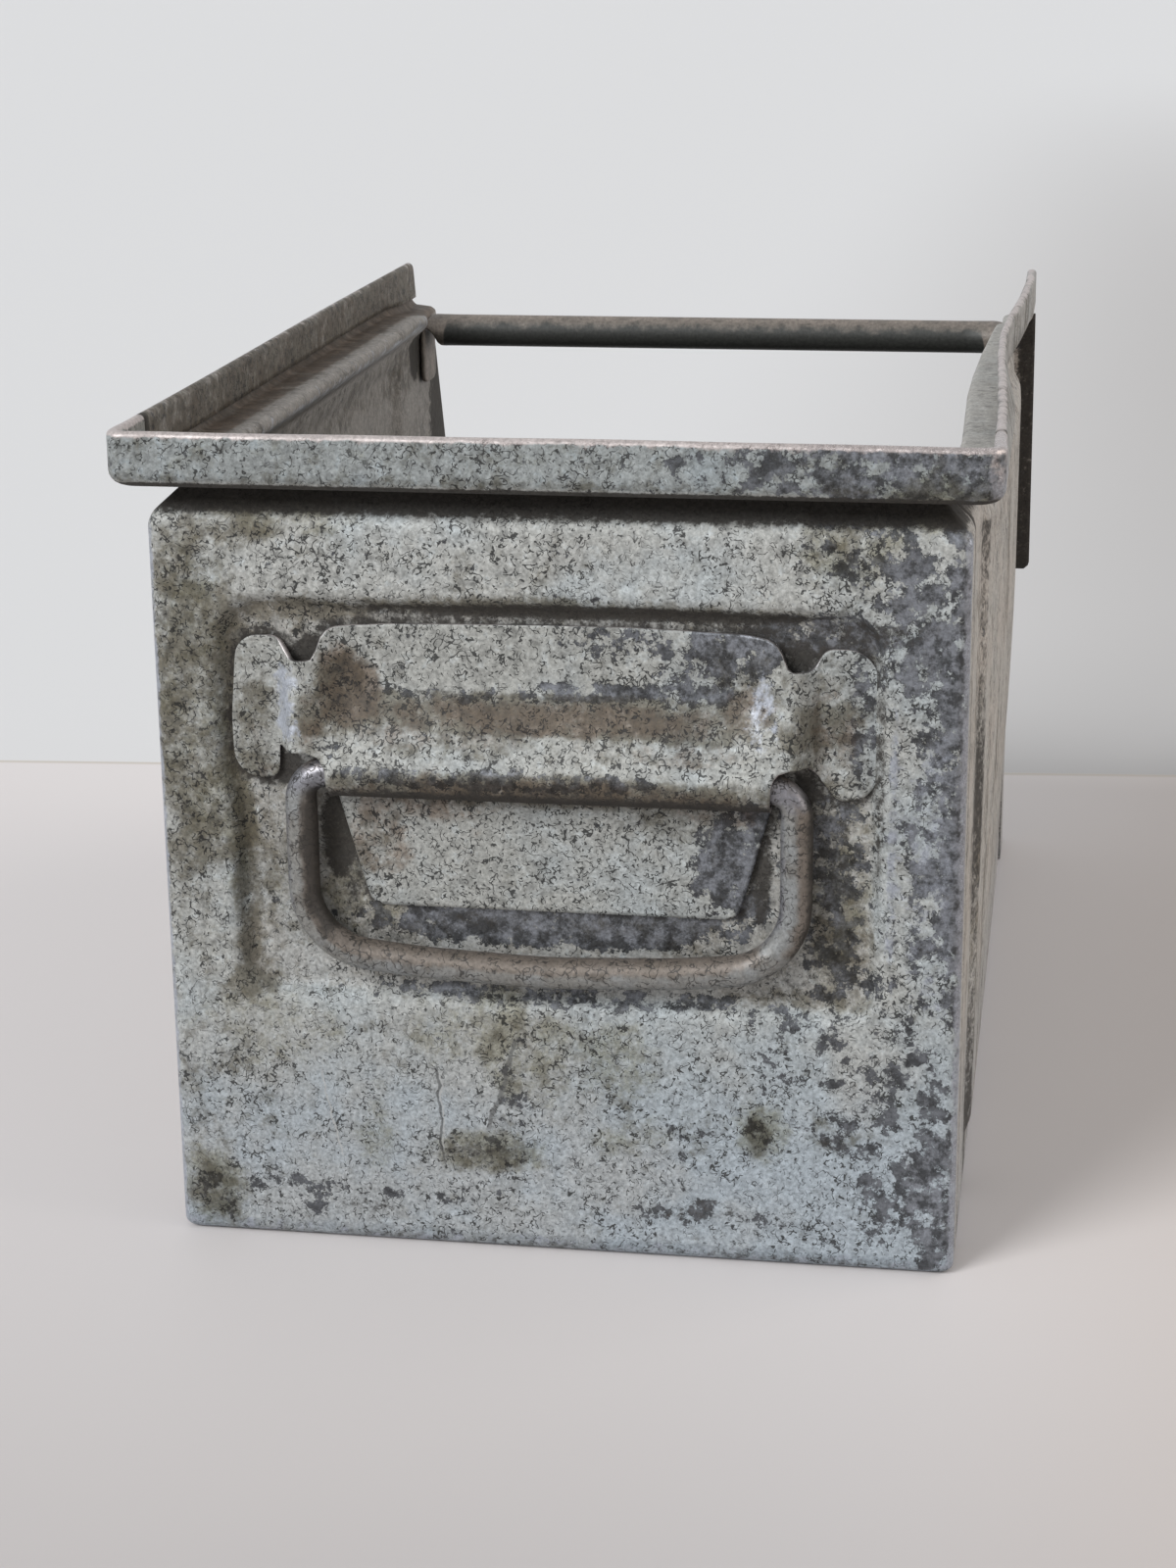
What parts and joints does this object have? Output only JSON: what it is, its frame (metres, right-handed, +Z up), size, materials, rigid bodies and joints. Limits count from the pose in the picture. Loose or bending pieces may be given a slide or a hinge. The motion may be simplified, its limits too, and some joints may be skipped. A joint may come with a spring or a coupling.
{
  "type": "open-front stacking bin",
  "caption": "Sheet-metal bin with an open top and low front, a rolled stacking rim, a carrying rod across the front and a wire drop handle on the rear wall.",
  "frame": {"origin": "on the floor under the middle of the bin's overall box", "axes": "+X to the right as the rear wall is seen, +Y from the rear wall to the open front, +Z up"},
  "size_m": [0.2034, 0.35, 0.2],
  "materials": {
    "zinc_sheet": "weathered galvanised sheet steel, mottled pale grey with dark flakes",
    "zinc_plate": "weathered galvanised sheet steel, brown in the folds",
    "handle_wire": "worn brown-grey steel wire",
    "rod_tube": "dark brown aged steel tube"
  },
  "bodies": {
    "shell": {"rear_wall": "zinc_sheet", "left_side_wall": "zinc_sheet", "right_side_wall": "zinc_sheet", "front_wall": "zinc_sheet", "bottom_pan": "zinc_sheet", "handle_plate": "zinc_plate", "carrying_rod": "rod_tube", "card_holder": "zinc_sheet"},
    "bail": {"bail_handle": "handle_wire"}
  },
  "joints": [
    {"name": "bail_hinge", "type": "hinge", "parent": "shell", "child": "bail", "pos_m": [-0.0015, -0.1695, 0.1199], "axis": [-1, 0, 0], "range_deg": [-1, 90]}
  ]
}
